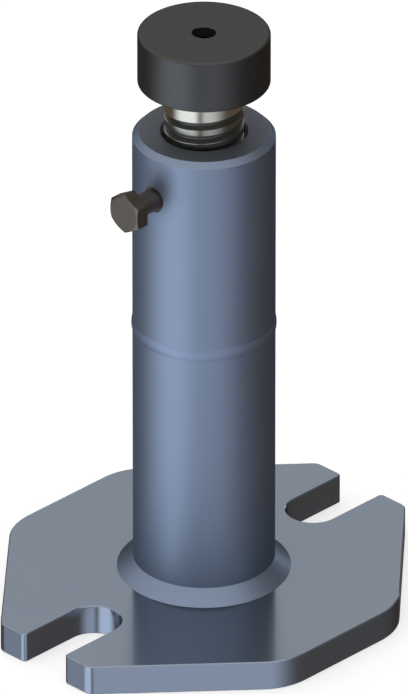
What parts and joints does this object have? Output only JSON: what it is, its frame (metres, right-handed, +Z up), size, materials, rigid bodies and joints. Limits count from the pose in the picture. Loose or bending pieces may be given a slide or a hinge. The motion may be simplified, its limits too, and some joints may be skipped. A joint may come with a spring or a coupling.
{
  "type": "machinist jack",
  "caption": "Screw jack on a slotted base plate: welded round column, square-thread screw with a swivel cap, and a hexagon-head side lock screw.",
  "frame": {"origin": "centre of the base plate's underside, on the column's axis", "axes": "+Z up along the column and jack screw; the open bolt slots run along Y; the lock screw's head points to -Y"},
  "size_m": [0.1564, 0.181, 0.255],
  "materials": {
    "plate": "smooth blue-grey enamel",
    "column": "smooth blue-grey enamel",
    "weld": "smooth blue-grey enamel over the bead",
    "screw": "bright turned steel",
    "cap": "black oxide",
    "spring_wire": "bright spring steel",
    "lock_screw": "plain dark steel",
    "tip": "turned brass"
  },
  "bodies": {
    "column": {"base_plate": "plate", "lower_tube": "column", "threaded_sleeve": "column", "base_weld": "weld", "column_weld": "weld"},
    "cap_ring": {"cap_retaining_ring": "spring_wire"},
    "screw": {"jack_screw": "screw"},
    "cap": {"swivel_cap": "cap"},
    "lock_tip": {"lock_pad": "tip"},
    "lock": {"lock_screw": "lock_screw"}
  },
  "joints": [
    {"name": "screw_lift", "type": "slide", "parent": "column", "child": "cap_ring", "axis": [0, 0, 1], "range_m": [-0.012, 0.05]},
    {"name": "screw_turn", "type": "hinge", "parent": "cap_ring", "child": "screw", "pos_m": [0, 0, 0.2411], "axis": [0, 0, 1], "range_deg": [-720, 3000]},
    {"name": "cap_swivel", "type": "hinge", "parent": "cap_ring", "child": "cap", "pos_m": [0, 0, 0.2411], "axis": [0, 0, 1], "continuous": true},
    {"name": "lock_travel", "type": "slide", "parent": "column", "child": "lock_tip", "axis": [0, -1, 0], "range_m": [0, 0.006]},
    {"name": "lock_turn", "type": "hinge", "parent": "lock_tip", "child": "lock", "pos_m": [0, -0.03, 0.1908], "axis": [0, -1, 0], "range_deg": [0, 1440]}
  ],
  "couplings": [
    {"joint": "screw_turn", "follows": "screw_lift", "rad_per_m": 1047.2},
    {"joint": "lock_turn", "follows": "lock_travel", "rad_per_m": 4188.8}
  ]
}
